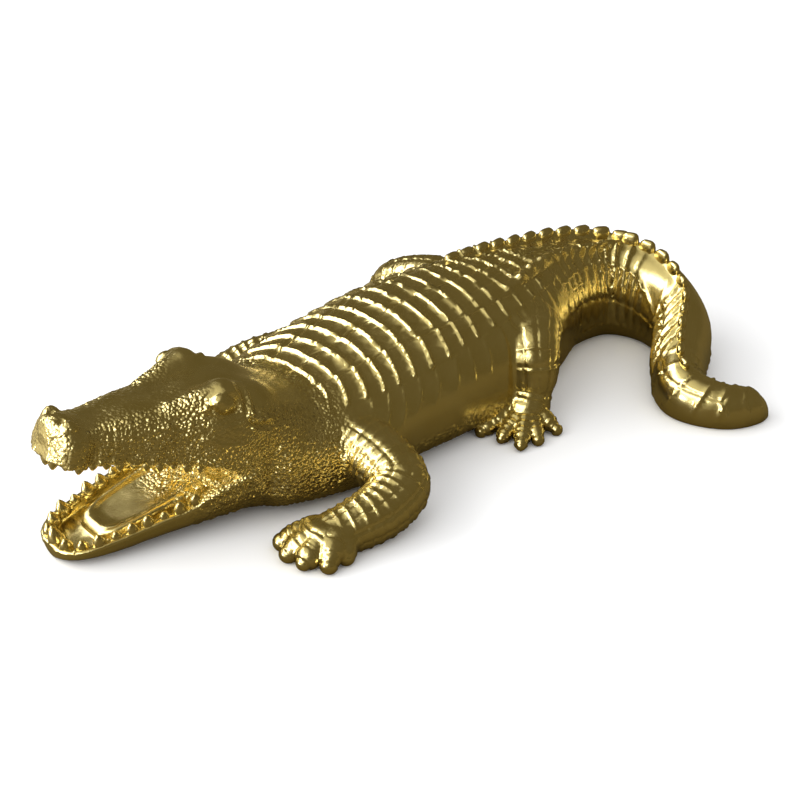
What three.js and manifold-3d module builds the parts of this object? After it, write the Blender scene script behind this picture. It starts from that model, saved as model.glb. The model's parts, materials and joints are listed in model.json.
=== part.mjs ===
// A cast desk ornament: a crocodile lying on its belly with its jaws open and its tail curled round.
// It is one solid casting with a gilt finish. Millimetres, +Z up, head towards -X, left flank towards -Y.
import * as THREE from "three";
import { mergeVertices } from "three/addons/utils/BufferGeometryUtils.js";
import Module from "manifold-3d";

const wasm = await Module();
wasm.setup();

const DEG = Math.PI / 180;

// The casting is drawn about its belly, then moved so that the origin is under the middle of its box.
const TO_ORIGIN = [19.373, 16.884, 0];

// The backbone seen from above, from inside the skull to the tip of the tail.
const BACKBONE = [
  [-92, -12], [-62, -10], [-33, -7], [-3, -6], [27, -6], [53, -3], [80, 2.5], [102, -1.5],
  [112.5, -19], [109, -40.5], [92.5, -57], [80.5, -72], [87, -88], [104, -94],
];
// Half width, top and underside of the body against the distance along the backbone.
const BODY_WIDTH = [
  [0, 27], [20, 35], [35, 39], [50, 40], [65, 38.5], [90, 38], [120, 34.5], [145, 26], [165, 18.5], [195, 13.5],
  [220, 12], [250, 11], [280, 9.5], [300, 8], [316, 7], [330, 6.5],
];
const BODY_TOP = [
  [0, 37], [25, 37], [50, 41.5], [70, 45], [90, 47.5], [120, 48.5], [148, 47], [172, 43], [195, 39], [220, 34.5],
  [250, 27], [280, 20], [300, 15], [316, 12], [330, 10],
];
const BODY_UNDER = [[0, 3], [20, -0.5], [40, -1.5], [330, -1.5]];
const TIP = 7; // length of the rounded end of the tail
const WAIST = 0.42; // height of the widest line, as a share of the body's height
const BACK_ROUND = 2.2; // superellipse power over the back
const BELLY_ROUND = 3.2; // and under the belly

// The rings of horny plates on the trunk, and the narrower ones round the tail.
const RING_FIRST = 38;
const TRUNK_PITCH = 8.2;
const TAIL_PITCH = 7.4;
const TAIL_START = 150;
const RING_LIFT = 1.1;
const RING_DROP = 0.9; // length of the step down from one ring to the next
const RING_SLANT = 4; // how far a ring leans towards the head on its way down to the flank
// Places round half the body: two columns of plates, each raised along its middle, then the flank and the belly.
const HALF_ROUND = [0, 13, 27, 39, 51, 70, 90, 125].map((degrees) => degrees * DEG);
const PLATE_MIDDLES = [HALF_ROUND[1], HALF_ROUND[3]];
const PLATE_LIFT = 0.7;
const FLANK = 90 * DEG; // the rings end here

// Two crests of knobs start over the hips and close in on each other, and one row of taller ones follows.
const CREST_START = 125;
const CREST_MEET = 205;
const CREST_END = 300;
// Degrees from the middle of the back out to each crest. The left one closes in sooner than the right one.
const LEFT_CREST = [[117, 27], [130, 19], [144, 13], [166, 14], [184, 15], [196, 10], [CREST_MEET, 3]];
const RIGHT_CREST = [[117, 27], [145, 27], [CREST_MEET, 3]];
const KNOB = 3.1;
const KNOB_PITCH = 7.4;
const TALL_KNOB = 3.6;
const TALL_PITCH = 7.5;

// The head hangs from the corner of the mouth, where the two jaws part.
const JAW_JOINT = [-104, -14.5, 18];
const HEAD_TURN = 3; // degrees from straight ahead, towards the animal's right
const UPPER_TILT = 20.5;
const LOWER_TILT = -11.5;

// Upper jaw and skull against the distance in front of the jaw joint, with heights above the line of the teeth.
const UPPER_LENGTH = 65;
const SKULL_WIDTH = [
  [-34, 20], [-20, 25], [-6, 26], [6, 23.5], [18, 19], [30, 16], [42, 13.5], [50, 12], [58, 13], [63, 10.5],
  [UPPER_LENGTH, 5],
];
const SKULL_TOP = [
  [-34, 29], [-20, 33.5], [-6, 36], [6, 34.5], [15, 30], [26, 25.5], [38, 21.5], [50, 16.5], [58, 14.5], [63, 12],
  [UPPER_LENGTH, 8],
];
const SKULL_UNDER = [
  [-34, -14], [-20, -12], [-10, -4], [0, 5], [8, 6.5], [20, 5.8], [30, 4.6], [42, 3.6], [50, 2.2], [56, 1],
  [UPPER_LENGTH, 1],
];
const BROW = { centre: [8, 13.4, 31.5], size: [9, 6.5, 7.4], sides: 8 };
const EYE = { centre: [8.8, 16.6, 30.8], size: [4.8, 4, 3.6], sides: 7 };
const NOSTRIL = { centre: [60, 5, 14], size: [3.6, 3.6, 3], sides: 6 };
const NOSE = { centre: [60, 0, 11], size: [7, 9, 4.5], sides: 8 };

// Lower jaw, its rim at height 0 in front and higher behind, with a trough that holds the tongue.
const LOWER_LENGTH = 61;
const JAW_WIDTH = [
  [-26, 19], [-12, 25.5], [0, 25], [15, 22], [30, 19], [44, 16.5], [54, 13.4], [59, 9], [LOWER_LENGTH, 4],
];
const JAW_UNDER = [
  [-26, -6], [-12, -13.5], [0, -14.5], [15, -12.5], [30, -10.5], [45, -8.5], [LOWER_LENGTH, -5.5],
];
const JAW_TOP = [[-26, 4], [-5, 4.8], [2, 4.6], [7, 3.4], [12, 1.2], [18, 0], [LOWER_LENGTH, 0]];
const TROUGH_DEPTH = 4;
const LIP = 3.2; // thickness of the jaw's edge beside the trough
const TONGUE = { centre: [22, 0, -TROUGH_DEPTH], size: [22, 9.5, 2.4], sides: 10 };

const UPPER_TEETH = { first: 12, inset: 1.8, count: 23, height: 3.2, point: -1 };
const LOWER_TEETH = { first: 12, inset: 1.9, count: 21, height: 3.4, point: 1 };
const TOOTH_RADIUS = 1.9;
const ROOT = 3; // how deep a tooth or a claw sinks into what carries it

// Legs as centre lines with a thickness at each point, the places where the claws end, inner toe first, and how
// fat the toes are.
const LEFT_FRONT = {
  line: [
    [-52, -24, 20, 11], [-52, -38, 19, 11], [-50, -52, 17, 11], [-51, -65, 13, 10.5], [-62, -70, 10, 9.8],
    [-73, -70, 8, 9], [-81, -68, 6, 8],
  ],
  toes: [[-98, -56], [-101, -64], [-100, -72.5], [-93.5, -79.5], [-85, -79]],
  fat: 1.15,
};
const LEFT_HIND = {
  line: [
    [50, -12, 22, 13], [41.5, -27, 27, 12], [34, -37.5, 28, 9.8], [32, -40.5, 21, 9], [31, -41.5, 14, 7.5],
    [28, -42, 7, 7],
  ],
  toes: [[5.5, -40], [8.1, -49.6], [10.6, -58.8], [19.4, -59.3], [30.6, -57.7]],
  fat: 1,
};
const RIGHT_FRONT = {
  line: [
    [-48, 8, 20, 11], [-40, 22, 18, 10.5], [-31, 33, 14, 10], [-28, 41, 11, 9], [-36, 46, 9, 8.5],
    [-46, 48, 7, 7.5], [-54, 48, 5, 6.5],
  ],
  toes: [[-64, 37], [-71, 43], [-73, 50], [-70, 58], [-62, 61]],
  fat: 1.15,
};
const RIGHT_HIND = {
  line: [
    [48, 8, 22, 13], [41, 28, 24, 12], [34, 44, 21, 10], [33, 49, 14, 8.5], [30, 50, 9, 7.5], [24, 50, 6, 7],
  ],
  toes: [[6, 43], [4, 51], [8, 60], [17, 66], [28, 66]],
  fat: 1,
};
const LEG = { sides: 8, bands: 5, step: 0.7 }; // bands of scales, each stepped over the next
const TOE = { sides: 5, bands: 2, step: 0.25 };
const PALM = { size: [9.5, 9.5, 6], sides: 6 };
// Height and thickness of a toe at shares of its length. The claw takes the last of it.
const TOE_LINE = [[0.3, 5, 3.6], [0.55, 4.6, 3.4], [0.72, 3.2, 2.8], [0.86, 2, 1.8]];
const CLAW = { from: 0.8, height: 2.4, radius: 1.7, dip: 0.22 };

const { clamp } = THREE.MathUtils;
const power = (v, p) => Math.sign(v) * Math.abs(v) ** p;

function range(first, last, step) {
  const count = Math.floor((last - first) / step + 1e-6) + 1;
  return Array.from({ length: count }, (_, i) => first + i * step);
}

// A smooth value read from a list of [place, value] pairs.
function along(keys, at) {
  const n = keys.length;
  if (at <= keys[0][0]) return keys[0][1];
  if (at >= keys[n - 1][0]) return keys[n - 1][1];
  let i = 0;
  while (at > keys[i + 1][0]) i++;
  const slope = (j) => {
    const a = keys[Math.max(j - 1, 0)];
    const b = keys[Math.min(j + 1, n - 1)];
    return (b[1] - a[1]) / (b[0] - a[0]);
  };
  const [x0, y0] = keys[i];
  const [x1, y1] = keys[i + 1];
  const w = x1 - x0;
  const t = (at - x0) / w;
  const t2 = t * t;
  const t3 = t2 * t;
  return (2 * t3 - 3 * t2 + 1) * y0 + (t3 - 2 * t2 + t) * w * slope(i) +
    (3 * t2 - 2 * t3) * y1 + (t3 - t2) * w * slope(i + 1);
}

function curve(points) {
  const knots = points.map(([x, y, z]) => new THREE.Vector3(x, y, z));
  return new THREE.CatmullRomCurve3(knots, false, "catmullrom", 0.5);
}

// A closed solid from a mesh, its faces turned outwards.
function solid(geometry) {
  geometry.deleteAttribute("normal");
  geometry.deleteAttribute("uv");
  const merged = mergeVertices(geometry, 1e-4);
  const triVerts = new Uint32Array(merged.index.array);
  const mesh = { numProp: 3, vertProperties: merged.attributes.position.array, triVerts };
  const made = new wasm.Manifold(new wasm.Mesh(mesh));
  if (made.volume() > 0) return made;
  for (let i = 0; i < triVerts.length; i += 3) [triVerts[i], triVerts[i + 1]] = [triVerts[i + 1], triVerts[i]];
  return new wasm.Manifold(new wasm.Mesh(mesh));
}

const joined = (solids) => wasm.Manifold.union(solids);

// A sphere's skin pulled over a form. Stations run from one end to the other, angles go round once, and place
// gives the point at a station and an angle.
function skin(angles, stations, place) {
  const rows = stations.length - 1;
  const around = angles.length;
  const sphere = new THREE.SphereGeometry(1, around, rows);
  const at = sphere.attributes.position;
  for (let i = 0; i <= rows; i++) {
    for (let j = 0; j <= around; j++) {
      const end = i === 0 || i === rows;
      const p = place(stations[i], angles[j % around], end);
      at.setXYZ(i * (around + 1) + j, p.x, p.y, p.z);
    }
  }
  return solid(sphere);
}

const evenly = (sides) => range(0, sides - 1, 1).map((j) => (j / sides) * 2 * Math.PI);

function bump({ centre, size, sides }) {
  const sphere = new THREE.SphereGeometry(1, sides, Math.round(sides * 0.6));
  return solid(sphere.scale(...size).translate(...centre));
}

// A pointed cone with its root sunk into what carries it.
function spike(foot, radius, height, direction) {
  const cone = new THREE.ConeGeometry(radius, height + ROOT, 4).translate(0, (height - ROOT) / 2, 0);
  const up = new THREE.Vector3(0, 1, 0);
  const turn = new THREE.Quaternion().setFromUnitVectors(up, direction.clone().normalize());
  return solid(cone.applyQuaternion(turn).translate(...foot));
}

const spine = curve(BACKBONE.map(([x, y]) => [x, y, 0]));
const SPINE_LENGTH = spine.getLength();

// A point of the body's skin: angle 0 is the middle of the back, and lift raises it.
function bodyPoint(s, angle, lift = 0) {
  const u = clamp(s / SPINE_LENGTH, 0, 1);
  const centre = spine.getPointAt(u);
  const tangent = spine.getTangentAt(u);
  const fade = Math.sqrt(1 - 0.98 * clamp((s - SPINE_LENGTH + TIP) / TIP, 0, 1) ** 2);
  const under = along(BODY_UNDER, s);
  const top = under + (along(BODY_TOP, s) - under) * (0.5 + 0.5 * fade);
  const middle = under + WAIST * (top - under);
  const c = Math.cos(angle);
  const round = c > 0 ? BACK_ROUND : BELLY_ROUND;
  const side = power(Math.sin(angle), 2 / round) * (along(BODY_WIDTH, s) + lift) * fade;
  const rise = power(c, 2 / round) * (c > 0 ? top - middle + lift : middle - under);
  return new THREE.Vector3(centre.x - tangent.y * side, centre.y + tangent.x * side, middle + rise);
}

function body() {
  const rings = range(RING_FIRST, TAIL_START, TRUNK_PITCH);
  for (let s = rings.at(-1) + TAIL_PITCH; s < SPINE_LENGTH - 1.4 * TIP; s += TAIL_PITCH) rings.push(s);
  const edges = new Set(rings);
  const rows = [0, 0.08, 0.4, 0.7].map((share) => share * RING_FIRST);
  // Each ring climbs to its rear edge and then drops on to the next one.
  for (const s of rings) rows.push(s, s + RING_DROP);
  rows.push(...[0.7, 0.35, 0.1, 0].map((share) => SPINE_LENGTH - share * TIP));
  const far = HALF_ROUND.slice(1).map((angle) => -angle).reverse();
  return skin([...HALF_ROUND, Math.PI, ...far], rows, (s, angle, end) => {
    if (end) return bodyPoint(s, Math.PI / 2).add(bodyPoint(s, -Math.PI / 2)).multiplyScalar(0.5);
    const edge = edges.has(s) ? RING_LIFT : 0;
    const plate = PLATE_MIDDLES.includes(Math.abs(angle)) && s > RING_FIRST ? PLATE_LIFT : 0;
    const lift = Math.abs(angle) <= FLANK ? edge + plate : 0;
    const onTrunk = clamp(s / RING_FIRST, 0, 1) * clamp(1 - (s - TAIL_START) / 30, 0, 1);
    return bodyPoint(s - RING_SLANT * (1 - Math.cos(angle)) * onTrunk, angle, lift);
  });
}

function crests() {
  const knob = (s, angle, size) => {
    const { x, y, z } = bodyPoint(s, angle);
    return solid(new THREE.OctahedronGeometry(1).scale(size, size, size * 1.25).translate(x, y, z));
  };
  const pairs = range(CREST_START, CREST_MEET, KNOB_PITCH).flatMap((s) => {
    return [knob(s, along(RIGHT_CREST, s) * DEG, KNOB), knob(s, -along(LEFT_CREST, s) * DEG, KNOB)];
  });
  const row = range(CREST_MEET + 1, CREST_END, TALL_PITCH).map((s) => {
    const gone = (s - CREST_MEET) / (CREST_END - CREST_MEET);
    return knob(s, 0, TALL_KNOB * (1 - gone / 2));
  });
  return joined([...pairs, ...row]);
}

// A form drawn about the jaw joint, forward along +X. Widest is the height of its widest line, as a share, and
// upper and lower are powers that say how round it is above and below that line.
function shell({ width, top, under, stations, sides, widest, upper, lower }) {
  return skin(evenly(sides), stations, (x, angle, end) => {
    const high = top(x);
    const low = under(x);
    const middle = low + widest * (high - low);
    if (end) return new THREE.Vector3(x, 0, middle);
    const c = Math.cos(angle);
    const rise = c > 0 ? power(c, upper) * (high - middle) : power(c, lower) * (middle - low);
    return new THREE.Vector3(x, power(Math.sin(angle), 0.8) * width(x), middle + rise);
  });
}

// Turns and tilts a solid drawn about the jaw joint into its place on the body.
function onHead(made, tilt) {
  const place = new THREE.Matrix4().makeTranslation(...JAW_JOINT)
    .multiply(new THREE.Matrix4().makeRotationZ((180 - HEAD_TURN) * DEG))
    .multiply(new THREE.Matrix4().makeRotationY(-tilt * DEG));
  return made.transform(place.elements);
}

// Teeth stand in one row along the edge of a jaw, from one corner of the mouth round the tip to the other.
function teeth(width, rim, tip, { first, inset, count, height, point }) {
  const side = range(first, tip - 9, 9).map((x) => [x, along(width, x) - inset, 0]);
  const half = [...side, [tip - 3.5, along(width, tip - 4) * 0.62, 0], [tip - inset, 0, 0]];
  const other = half.slice(0, -1).reverse().map(([x, y, z]) => [x, -y, z]);
  return curve([...half, ...other]).getSpacedPoints(count - 1).map((p, i) => {
    const uneven = 1 + 0.25 * Math.sin(i * 2.3);
    const lean = new THREE.Vector3(0.1, 0.18 * Math.sign(p.y), point);
    return spike([p.x, p.y, along(rim, p.x)], TOOTH_RADIUS, height * uneven, lean);
  });
}

function skull() {
  const form = shell({
    width: (x) => along(SKULL_WIDTH, x),
    top: (x) => along(SKULL_TOP, x),
    under: (x) => along(SKULL_UNDER, x),
    stations: [-34, -32, ...range(-24, 48, 8), 52, 56, 60, 63, 64.6, UPPER_LENGTH],
    sides: 16, widest: 0.12, upper: 0.5, lower: 0.5,
  });
  const pairs = [BROW, EYE, NOSTRIL].flatMap((feature) => {
    const [x, y, z] = feature.centre;
    return [bump(feature), bump({ ...feature, centre: [x, -y, z] })];
  });
  const row = teeth(SKULL_WIDTH, SKULL_UNDER, UPPER_LENGTH - 1, UPPER_TEETH);
  return onHead(joined([form, bump(NOSE), ...pairs, ...row]), UPPER_TILT);
}

function lowerJaw() {
  const width = (x) => along(JAW_WIDTH, x);
  const form = shell({
    width,
    top: (x) => along(JAW_TOP, x),
    under: (x) => along(JAW_UNDER, x),
    stations: [-26, -24, ...range(-16, 48, 8), 53, 57, 60, LOWER_LENGTH],
    sides: 14, widest: 0.85, upper: 0.5, lower: 0.8,
  });
  const trough = shell({
    width: (x) => width(x) - LIP,
    top: () => 1.5 * TROUGH_DEPTH,
    under: () => -TROUGH_DEPTH,
    stations: [2, 3, 12, 24, 36, 46, 52, 56, 57],
    sides: 12, widest: 0.6, upper: 0.5, lower: 0.5,
  });
  const row = teeth(JAW_WIDTH, JAW_TOP, LOWER_LENGTH - 1, LOWER_TEETH);
  return onHead(joined([form.subtract(trough), bump(TONGUE), ...row]), LOWER_TILT);
}

// A limb is a tube of changing thickness along a smooth line, stepped where bands of scales overlap.
function limb(line, { sides, bands, step }) {
  const path = curve(line);
  const rows = bands * 2;
  const frames = path.computeFrenetFrames(rows);
  const thickness = line.map((knot, k) => [k / (line.length - 1), knot[3]]);
  return skin(evenly(sides), range(0, rows, 1), (i, angle, end) => {
    const p = path.getPointAt(i / rows);
    if (end) return p;
    const r = along(thickness, path.getUtoTmapping(i / rows)) + (i % 2 ? step : 0);
    return p.addScaledVector(frames.normals[i], r * Math.cos(angle))
      .addScaledVector(frames.binormals[i], r * Math.sin(angle));
  });
}

// A leg with its foot: the toes fan out from the end of the leg, each with a claw.
function leg({ line, toes, fat }) {
  const [x, y, z] = line.at(-1);
  const parts = [limb(line, LEG), bump({ ...PALM, centre: [x, y, z] })];
  for (const tip of toes) {
    const out = new THREE.Vector3(tip[0] - x, tip[1] - y, 0);
    const at = (share) => [x + out.x * share, y + out.y * share];
    parts.push(limb(TOE_LINE.map(([share, height, radius]) => [...at(share), height, radius * fat]), TOE));
    const point = out.clone().normalize().setZ(-CLAW.dip);
    parts.push(spike([...at(CLAW.from), CLAW.height], CLAW.radius, out.length() * (1 - CLAW.from), point));
  }
  return joined(parts);
}

// The casting is cut flat underneath, so that it lies steadily.
function casting() {
  const legs = [LEFT_FRONT, LEFT_HIND, RIGHT_FRONT, RIGHT_HIND].map(leg);
  return joined([body(), crests(), skull(), lowerJaw(), ...legs]).trimByPlane([0, 0, 1], 0).translate(TO_ORIGIN);
}

function meshOf(made, name, material) {
  const { numVert, numProp, vertProperties, triVerts } = made.getMesh();
  const at = new Float32Array(numVert * 3);
  for (let i = 0; i < numVert; i++) at.set(vertProperties.subarray(i * numProp, i * numProp + 3), i * 3);
  const geometry = new THREE.BufferGeometry()
    .setAttribute("position", new THREE.BufferAttribute(at, 3))
    .setIndex(new THREE.BufferAttribute(triVerts, 1));
  const mesh = new THREE.Mesh(geometry, material);
  mesh.name = name;
  return mesh;
}

const gilt = new THREE.MeshStandardMaterial({ color: 0xc9a03a, roughness: 0.3, metalness: 1 });
const ornament = new THREE.Group();
ornament.add(meshOf(casting(), "crocodile", gilt));

export default ornament;
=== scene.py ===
"""A cast and gilt crocodile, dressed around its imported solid. It is drawn in millimetres about its belly, with
the head towards -X and the left flank towards -Y, and each mesh is moved into the frame as it is made."""
import json
import math

import bpy
import numpy as np
from mathutils import Matrix, Vector


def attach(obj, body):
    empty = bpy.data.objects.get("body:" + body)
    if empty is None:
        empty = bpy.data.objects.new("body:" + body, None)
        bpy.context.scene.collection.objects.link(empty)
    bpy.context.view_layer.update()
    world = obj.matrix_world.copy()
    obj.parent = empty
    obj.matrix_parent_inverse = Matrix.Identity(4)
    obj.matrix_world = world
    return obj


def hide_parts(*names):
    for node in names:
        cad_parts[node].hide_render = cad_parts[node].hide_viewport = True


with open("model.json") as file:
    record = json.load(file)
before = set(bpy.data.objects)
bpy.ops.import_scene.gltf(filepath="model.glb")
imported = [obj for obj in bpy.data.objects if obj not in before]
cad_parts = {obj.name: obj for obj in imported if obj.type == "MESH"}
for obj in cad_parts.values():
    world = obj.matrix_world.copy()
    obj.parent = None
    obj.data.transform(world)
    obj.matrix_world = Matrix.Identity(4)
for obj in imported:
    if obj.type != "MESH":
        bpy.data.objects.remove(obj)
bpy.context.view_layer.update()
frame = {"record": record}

# The camera stands a metre off, over the animal's left shoulder, and looks through a long lens at the belly.
# The casting is drawn about that same point, 6.5 mm to the right of the middle of its underside.
MM = 0.001
UNDERSIDE = Vector((0, -6.5, 0))
BELLY = Vector(frame["record"]["mounts"][0]["pos_m"]) - UNDERSIDE * MM
CAMERA_ROUND = math.radians(-38)
CAMERA_UP = math.radians(30)
camera_data = bpy.data.cameras.new("camera")
camera_data.lens = 117
camera_data.sensor_width = 36
camera = bpy.data.objects.new("camera", camera_data)
towards_camera = Vector((
    math.sin(CAMERA_ROUND) * math.cos(CAMERA_UP),
    -math.cos(CAMERA_ROUND) * math.cos(CAMERA_UP),
    math.sin(CAMERA_UP),
))
camera.location = BELLY + towards_camera
camera.rotation_euler = (-towards_camera).to_track_quat("-Z", "Y").to_euler()
bpy.context.collection.objects.link(camera)
bpy.context.scene.camera = camera


# The floor is a pale sweep of paper, with soft boxes in front of the nose and high beyond the head. Mirrored in
# the gilding, the room is dim towards the camera and bright beyond the head, and the paper's own colour carries
# painted shade towards the camera and a painted pool of light beyond the head.
ROOM_SEEN = (1, 1, 1)
PAPER_SEEN = (0.93, 0.93, 0.93)
DIM_ROOM = (0.11, 0.085, 0.032)
BRIGHT_ROOM = (0.75, 0.70, 0.52)
BEYOND_HEAD = (-0.77, 0.28, 0.574)
# The paper's colour as the gilding mirrors it is painted: painted shade towards the camera, and a painted pool
# of light beyond the head.
PAINTED_SHADE_ON_PAPER = (0.11, 0.084, 0.034)
PAINTED_LIGHT_ON_PAPER = (0.55, 0.50, 0.38)
BEYOND_HEAD_ON_PAPER = (-0.80, 0.60, 0)


def mirrored_colour(tree, where, way, reach, dim, bright):
    """A colour that goes from dim to bright as the place or direction goes that way, between two reaches."""
    along_way = tree.nodes.new("ShaderNodeVectorMath")
    along_way.operation = "DOT_PRODUCT"
    along_way.inputs[1].default_value = way
    tree.links.new(where, along_way.inputs[0])
    rise = tree.nodes.new("ShaderNodeMapRange")
    rise.interpolation_type = "SMOOTHSTEP"
    rise.inputs["From Min"].default_value, rise.inputs["From Max"].default_value = reach
    tree.links.new(along_way.outputs["Value"], rise.inputs["Value"])
    return mixed(tree, rise.outputs["Result"], dim, bright)


def mixed(tree, factor, a, b):
    """A mix of two colours, each given as numbers or as a socket."""
    mix = tree.nodes.new("ShaderNodeMix")
    mix.data_type = "RGBA"
    tree.links.new(factor, mix.inputs["Factor"])
    for name, colour in (("A", a), ("B", b)):
        if isinstance(colour, tuple):
            mix.inputs[name].default_value = (*colour, 1)
        else:
            tree.links.new(colour, mix.inputs[name])
    return mix.outputs["Result"]


def by_ray(tree, seen, mirrored):
    """A colour that is one thing to the eye and another in a mirror."""
    ray = tree.nodes.new("ShaderNodeLightPath")
    return mixed(tree, ray.outputs["Is Glossy Ray"], seen, mirrored)


FLOOR_SIZE = 6
bpy.ops.mesh.primitive_plane_add(size=FLOOR_SIZE, location=(0, 0, 0))
floor = bpy.context.object
floor.name = "floor"
paper = bpy.data.materials.new("paper")
paper.use_nodes = True
sheet = paper.node_tree
paper_shader = sheet.nodes["Principled BSDF"]
paper_shader.inputs["Roughness"].default_value = 1
paper_shader.inputs["Specular IOR Level"].default_value = 0
place = sheet.nodes.new("ShaderNodeTexCoord").outputs["Object"]
PAPER_REACH = (0.08, 0.35)
# The paper's colour is painted for reflections only: painted shade towards the camera and a painted pool of
# light beyond the head.
in_mirror = mirrored_colour(sheet, place, BEYOND_HEAD_ON_PAPER, PAPER_REACH, PAINTED_SHADE_ON_PAPER, PAINTED_LIGHT_ON_PAPER)
sheet.links.new(by_ray(sheet, PAPER_SEEN, in_mirror), paper_shader.inputs["Base Color"])
floor.data.materials.append(paper)

world = bpy.data.worlds.new("room")
world.use_nodes = True
air = world.node_tree
direction = air.nodes.new("ShaderNodeTexCoord").outputs["Generated"]
ROOM_REACH = (0.38, 0.92)
in_mirror = mirrored_colour(air, direction, BEYOND_HEAD, ROOM_REACH, DIM_ROOM, BRIGHT_ROOM)
air.links.new(by_ray(air, ROOM_SEEN, in_mirror), air.nodes["Background"].inputs["Color"])
bpy.context.scene.world = world
bpy.context.scene.view_settings.view_transform = "Standard"

# Each box: the way to it from the belly, how far off it is, its width and height, and its power in watts.
BOXES = {
    "nose_box": ((-0.97, 0.12, 0.14), 1.2, (0.40, 0.20), 3.2),
    "right_box": ((-0.50, 0.62, 0.60), 1.3, (1.3, 0.6), 8),
    "front_box": ((-0.82, -0.10, 0.56), 1.3, (1.2, 0.5), 5),
}
for name, (way, away, size, power) in BOXES.items():
    box_data = bpy.data.lights.new(name, "AREA")
    box_data.shape = "RECTANGLE"
    box_data.size, box_data.size_y = size
    box_data.energy = power
    soft_box = bpy.data.objects.new(name, box_data)
    soft_box.location = BELLY + Vector(way).normalized() * away
    soft_box.rotation_euler = (-Vector(way)).to_track_quat("-Z", "Y").to_euler()
    bpy.context.collection.objects.link(soft_box)


# The trunk and the tail are one long form on a backbone, which is given as seen from above. Its half width,
# top and underside go by the distance along the backbone. It is cast in one with all the rest.
BACKBONE = [
    (-92, -12), (-62, -10), (-33, -7), (-3, -6), (27, -6), (53, -3), (80, 2.5), (102, -1.5),
    (112.5, -19), (109, -40.5), (92.5, -57), (80.5, -72), (87, -88), (104, -94),
]
BODY_WIDTH = [
    (0, 31), (18, 36), (35, 39), (50, 40), (65, 38.5), (90, 38), (120, 34.5), (145, 26), (165, 18.5),
    (195, 13.5), (220, 12), (250, 11), (280, 9.5), (300, 8), (316, 7), (330, 6.5),
]
BODY_TOP = [
    (0, 37), (25, 36.5), (50, 40.2), (70, 44.2), (90, 47.2), (120, 48.5), (148, 47), (172, 43), (195, 39),
    (220, 34.5), (250, 27), (280, 20), (300, 15), (316, 12), (330, 10),
]
BODY_UNDER = [(0, 2), (20, 0), (40, -1.5), (330, -1.5)]
WAIST = 0.42
BACK_ROUND = [(0, 2.2), (195, 2.2), (235, 1.75), (280, 1.75), (300, 2.1), (330, 2.2)]
BELLY_ROUND = 3.2
# How long the ends are that close the form, and how far they close it.
TIP = 12
TIP_CLOSES = 0.98
TIP_LEAST_HEIGHT = 0.15
THROAT_END = 8
THROAT_CLOSES = 0.4


def along(keys, at):
    """A smooth value read from a list of (place, value) pairs."""
    x, y = np.array(keys, float).T
    last = len(x) - 1
    before = np.maximum(np.arange(last + 1) - 1, 0)
    after = np.minimum(np.arange(last + 1) + 1, last)
    slope = (y[after] - y[before]) / (x[after] - x[before])
    at = np.clip(at, x[0], x[-1])
    i = np.clip(np.searchsorted(x, at) - 1, 0, last - 1)
    w = x[i + 1] - x[i]
    t = (at - x[i]) / w
    t2, t3 = t * t, t * t * t
    return ((2 * t3 - 3 * t2 + 1) * y[i] + (t3 - 2 * t2 + t) * w * slope[i]
            + (3 * t2 - 2 * t3) * y[i + 1] + (t3 - t2) * w * slope[i + 1])


def smooth_line(points, spacing):
    """Evenly spaced points of a smooth line through the given ones, all their values carried along."""
    p = np.array(points, float)
    p = np.vstack([2 * p[0] - p[1], p, 2 * p[-1] - p[-2]])
    t = np.linspace(0, 1, 40, endpoint=False)[:, None]
    t2, t3 = t * t, t * t * t
    runs = []
    for a, b, c, d in zip(p, p[1:], p[2:], p[3:]):
        runs.append((2 * t3 - 3 * t2 + 1) * b + (t3 - 2 * t2 + t) * (c - a) / 2
                    + (3 * t2 - 2 * t3) * c + (t3 - t2) * (d - b) / 2)
    line = np.vstack([*runs, p[-2:-1]])
    place = min(line.shape[1], 3)
    gone = np.concatenate([[0], np.cumsum(np.linalg.norm(np.diff(line[:, :place], axis=0), axis=1))])
    count = max(int(round(gone[-1] / spacing)), 2)
    at = np.linspace(0, gone[-1], count + 1)
    return np.stack([np.interp(at, gone, column) for column in line.T], 1), gone[-1]


spine, SPINE_LENGTH = smooth_line(BACKBONE, 1)
SPINE_STEP = SPINE_LENGTH / (len(spine) - 1)
spine_way = np.gradient(spine, axis=0)
spine_way /= np.linalg.norm(spine_way, axis=1)[:, None]
# A chart of the nearest backbone point for each square millimetre of the ground.
CHART_LOW = np.array([-180, -115])
CHART_HIGH = np.array([140, 85])
chart_x, chart_y = np.meshgrid(*(np.arange(a, b + 1) for a, b in zip(CHART_LOW, CHART_HIGH)), indexing="ij")
chart = np.zeros(chart_x.shape, int)
nearest = np.full(chart_x.shape, np.inf)
for i, (x, y) in enumerate(spine):
    away = (chart_x - x) ** 2 + (chart_y - y) ** 2
    chart = np.where(away < nearest, i, chart)
    nearest = np.minimum(nearest, away)

table_s = np.arange(-20, SPINE_LENGTH + 20, 0.25)
fade = np.sqrt(1 - TIP_CLOSES * np.clip((table_s - SPINE_LENGTH + TIP) / TIP, 0, 1) ** 2)
fade = fade * np.sqrt(1 - THROAT_CLOSES * np.clip((THROAT_END - table_s) / THROAT_END, 0, 1) ** 2)
table_round = along(BACK_ROUND, table_s)
table_under = along(BODY_UNDER, table_s)
table_rise = TIP_LEAST_HEIGHT + (1 - TIP_LEAST_HEIGHT) * fade
table_top = table_under + (along(BODY_TOP, table_s) - table_under) * table_rise
table_width = along(BODY_WIDTH, table_s) * fade


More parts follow.
